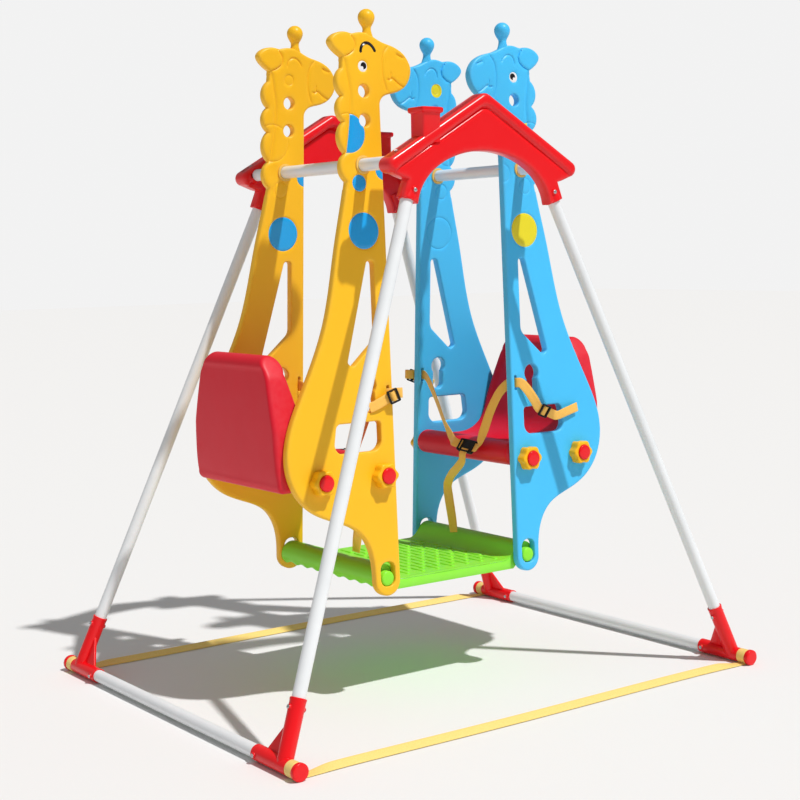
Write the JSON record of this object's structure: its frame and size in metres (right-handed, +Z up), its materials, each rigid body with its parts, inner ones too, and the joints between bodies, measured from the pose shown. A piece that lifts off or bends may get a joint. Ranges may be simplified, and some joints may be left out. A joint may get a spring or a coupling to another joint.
{
  "type": "indoor swing frame",
  "caption": "Tube A-frame with roof gables carrying two facing toddler swings with giraffe side panels, moulded seats, harnesses and a shared gliding footboard.",
  "frame": {"origin": "on the floor, under the middle of the two crossbars", "axes": "+Z up, X the swinging direction with the yellow swing at -X, Y along the crossbars with the chimneyed near gable at -Y"},
  "size_m": [1.5088, 1.172, 1.7335],
  "materials": {
    "tube": "white powder coat on steel tube",
    "red_plastic": "glossy red moulded plastic",
    "seat_plastic": "crimson blow-moulded plastic, fine grain on the pan",
    "yellow_panel": "yellow blow-moulded plastic",
    "blue_panel": "sky-blue blow-moulded plastic",
    "green_plastic": "lime-green moulded plastic",
    "yellow_knob": "yellow moulded plastic",
    "button": "red moulded plastic",
    "bushing": "yellow acetal-like bearing plastic",
    "webbing": "woven yellow-orange webbing",
    "black_plastic": "black moulded plastic",
    "steel": "zinc-plated steel"
  },
  "bodies": {
    "frame": {"base_tube_blue": "tube", "base_tube_yellow": "tube", "crossbar_blue": "tube", "crossbar_yellow": "tube", "floor_strap_far": "webbing", "floor_strap_near": "webbing", "foot_blue_far": "red_plastic", "foot_blue_near": "red_plastic", "foot_bolts": "steel", "foot_end_caps": "red_plastic", "foot_yellow_far": "red_plastic", "foot_yellow_near": "red_plastic", "gable_far": "red_plastic", "gable_near": "red_plastic", "gable_screws_far": "steel", "gable_screws_near": "steel", "leg_blue_far": "tube", "leg_blue_near": "tube", "leg_yellow_far": "tube", "leg_yellow_near": "tube"},
    "yellow_swing": {"adjusters_yellow": "black_plastic", "buckle_yellow": "black_plastic", "bushing_yellow_far": "bushing", "bushing_yellow_near": "bushing", "crotch_strap_yellow": "webbing", "lap_strap_yellow_far": "webbing", "lap_strap_yellow_near": "webbing", "panel_yellow_far": "yellow_panel", "panel_yellow_near": "yellow_panel", "seat_bolts_yellow": "steel", "seat_yellow": "seat_plastic"},
    "blue_swing": {"adjusters_blue": "black_plastic", "buckle_blue": "black_plastic", "bushing_blue_far": "bushing", "bushing_blue_near": "bushing", "crotch_strap_blue": "webbing", "lap_strap_blue_far": "webbing", "lap_strap_blue_near": "webbing", "panel_blue_far": "blue_panel", "panel_blue_near": "blue_panel", "seat_blue": "seat_plastic", "seat_bolts_blue": "steel"},
    "footboard": {"footboard": "green_plastic"},
    "knob_blue_far_front": {"button_blue_far_front": "button", "knob_blue_far_front": "yellow_knob"},
    "knob_blue_far_rear": {"button_blue_far_rear": "button", "knob_blue_far_rear": "yellow_knob"},
    "knob_blue_near_front": {"button_blue_near_front": "button", "knob_blue_near_front": "yellow_knob"},
    "knob_blue_near_rear": {"button_blue_near_rear": "button", "knob_blue_near_rear": "yellow_knob"},
    "knob_yellow_far_front": {"button_yellow_far_front": "button", "knob_yellow_far_front": "yellow_knob"},
    "knob_yellow_far_rear": {"button_yellow_far_rear": "button", "knob_yellow_far_rear": "yellow_knob"},
    "knob_yellow_near_front": {"button_yellow_near_front": "button", "knob_yellow_near_front": "yellow_knob"},
    "knob_yellow_near_rear": {"button_yellow_near_rear": "button", "knob_yellow_near_rear": "yellow_knob"}
  },
  "joints": [
    {"name": "yellow_swing_hinge", "type": "hinge", "parent": "frame", "child": "yellow_swing", "pos_m": [-0.257, 0, 1.35], "axis": [0, 1, 0], "range_deg": [-20, 20]},
    {"name": "blue_swing_hinge", "type": "hinge", "parent": "frame", "child": "blue_swing", "pos_m": [0.257, 0, 1.35], "axis": [0, 1, 0], "range_deg": [-20.5, 20.5]},
    {"name": "footboard_hinge", "type": "hinge", "parent": "yellow_swing", "child": "footboard", "pos_m": [-0.234, 0, 0.31904], "axis": [0, 1, 0], "range_deg": [-22.5, 22.5]},
    {"name": "knob_blue_far_front_turn", "type": "hinge", "parent": "blue_swing", "child": "knob_blue_far_front", "pos_m": [0.239, 0.22469, 0.5803], "axis": [0, 0.999, 0.045], "range_deg": [-180, 180]},
    {"name": "knob_blue_far_rear_turn", "type": "hinge", "parent": "blue_swing", "child": "knob_blue_far_rear", "pos_m": [0.425, 0.22469, 0.5803], "axis": [0, 0.999, 0.045], "range_deg": [-180, 180]},
    {"name": "knob_blue_near_front_turn", "type": "hinge", "parent": "blue_swing", "child": "knob_blue_near_front", "pos_m": [0.239, -0.22469, 0.5803], "axis": [0, -0.999, 0.045], "range_deg": [-180, 180]},
    {"name": "knob_blue_near_rear_turn", "type": "hinge", "parent": "blue_swing", "child": "knob_blue_near_rear", "pos_m": [0.425, -0.22469, 0.5803], "axis": [0, -0.999, 0.045], "range_deg": [-180, 180]},
    {"name": "knob_yellow_far_front_turn", "type": "hinge", "parent": "yellow_swing", "child": "knob_yellow_far_front", "pos_m": [-0.239, 0.22469, 0.5803], "axis": [0, 0.999, 0.045], "range_deg": [-180, 180]},
    {"name": "knob_yellow_far_rear_turn", "type": "hinge", "parent": "yellow_swing", "child": "knob_yellow_far_rear", "pos_m": [-0.425, 0.22469, 0.5803], "axis": [0, 0.999, 0.045], "range_deg": [-180, 180]},
    {"name": "knob_yellow_near_front_turn", "type": "hinge", "parent": "yellow_swing", "child": "knob_yellow_near_front", "pos_m": [-0.239, -0.22469, 0.5803], "axis": [0, -0.999, 0.045], "range_deg": [-180, 180]},
    {"name": "knob_yellow_near_rear_turn", "type": "hinge", "parent": "yellow_swing", "child": "knob_yellow_near_rear", "pos_m": [-0.425, -0.22469, 0.5803], "axis": [0, -0.999, 0.045], "range_deg": [-180, 180]}
  ],
  "couplings": [
    {"joint": "blue_swing_hinge", "follows": "yellow_swing_hinge", "ratio": 1},
    {"joint": "footboard_hinge", "follows": "yellow_swing_hinge", "ratio": -1.0965}
  ]
}
